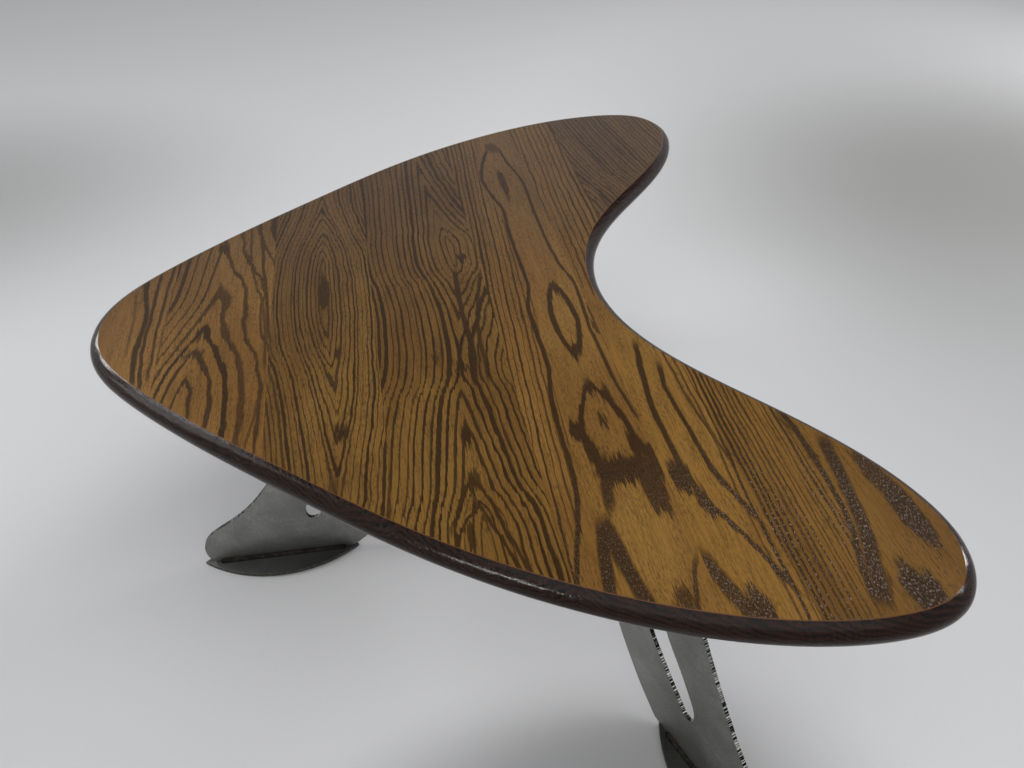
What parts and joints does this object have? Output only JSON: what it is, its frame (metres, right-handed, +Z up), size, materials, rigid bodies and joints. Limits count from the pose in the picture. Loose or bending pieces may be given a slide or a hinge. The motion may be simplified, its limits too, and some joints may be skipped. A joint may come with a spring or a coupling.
{
  "type": "coffee table",
  "caption": "Boomerang-shaped coffee table: a dark-stained hardwood top with a rounded edge on plate-steel legs with slots and lens-shaped feet.",
  "frame": {"origin": "centre of the bounding box, on the floor under the table", "axes": "+Y along the table's length from arm tip to arm tip, +X from the apex to the notch, +Z up"},
  "size_m": [0.8149, 1.096, 0.43],
  "materials": {
    "stained_wood": "dark stain under satin varnish, open pores",
    "biscuit_wood": "unfinished beech",
    "ground_steel": "mill steel, lightly ground, clear coated",
    "weld_steel": "as welded, brushed",
    "screw_steel": "black oxide",
    "felt": "pressed wool felt"
  },
  "bodies": {
    "root": {"apex_foot_felt": "felt", "apex_foot_plate": "ground_steel", "apex_foot_weld_left": "weld_steel", "apex_foot_weld_right": "weld_steel", "apex_leg_plate": "ground_steel", "apex_mount_plate": "ground_steel", "apex_mount_weld_left": "weld_steel", "apex_mount_weld_right": "weld_steel", "apex_screw_1": "screw_steel", "apex_screw_2": "screw_steel", "apex_screw_3": "screw_steel", "apex_screw_4": "screw_steel", "biscuit_1_1": "biscuit_wood", "biscuit_2_1": "biscuit_wood", "biscuit_2_2": "biscuit_wood", "biscuit_3_1": "biscuit_wood", "biscuit_3_2": "biscuit_wood", "biscuit_4_1": "biscuit_wood", "biscuit_4_2": "biscuit_wood", "biscuit_4_3": "biscuit_wood", "biscuit_4_4": "biscuit_wood", "biscuit_5_1": "biscuit_wood", "biscuit_5_2": "biscuit_wood", "biscuit_5_3": "biscuit_wood", "biscuit_5_4": "biscuit_wood", "biscuit_6_1": "biscuit_wood", "biscuit_6_2": "biscuit_wood", "board_1": "stained_wood", "board_2": "stained_wood", "board_3": "stained_wood", "board_4": "stained_wood", "board_5": "stained_wood", "board_6": "stained_wood", "board_7_far": "stained_wood", "board_7_near": "stained_wood", "far_foot_felt": "felt", "far_foot_plate": "ground_steel", "far_foot_weld_left": "weld_steel", "far_foot_weld_right": "weld_steel", "far_leg_plate": "ground_steel", "far_mount_plate": "ground_steel", "far_mount_weld_left": "weld_steel", "far_mount_weld_right": "weld_steel", "far_screw_1": "screw_steel", "far_screw_2": "screw_steel", "far_screw_3": "screw_steel", "far_screw_4": "screw_steel", "near_foot_felt": "felt", "near_foot_plate": "ground_steel", "near_foot_weld_left": "weld_steel", "near_foot_weld_right": "weld_steel", "near_leg_plate": "ground_steel", "near_mount_plate": "ground_steel", "near_mount_weld_left": "weld_steel", "near_mount_weld_right": "weld_steel", "near_screw_1": "screw_steel", "near_screw_2": "screw_steel", "near_screw_3": "screw_steel", "near_screw_4": "screw_steel"}
  },
  "joints": []
}
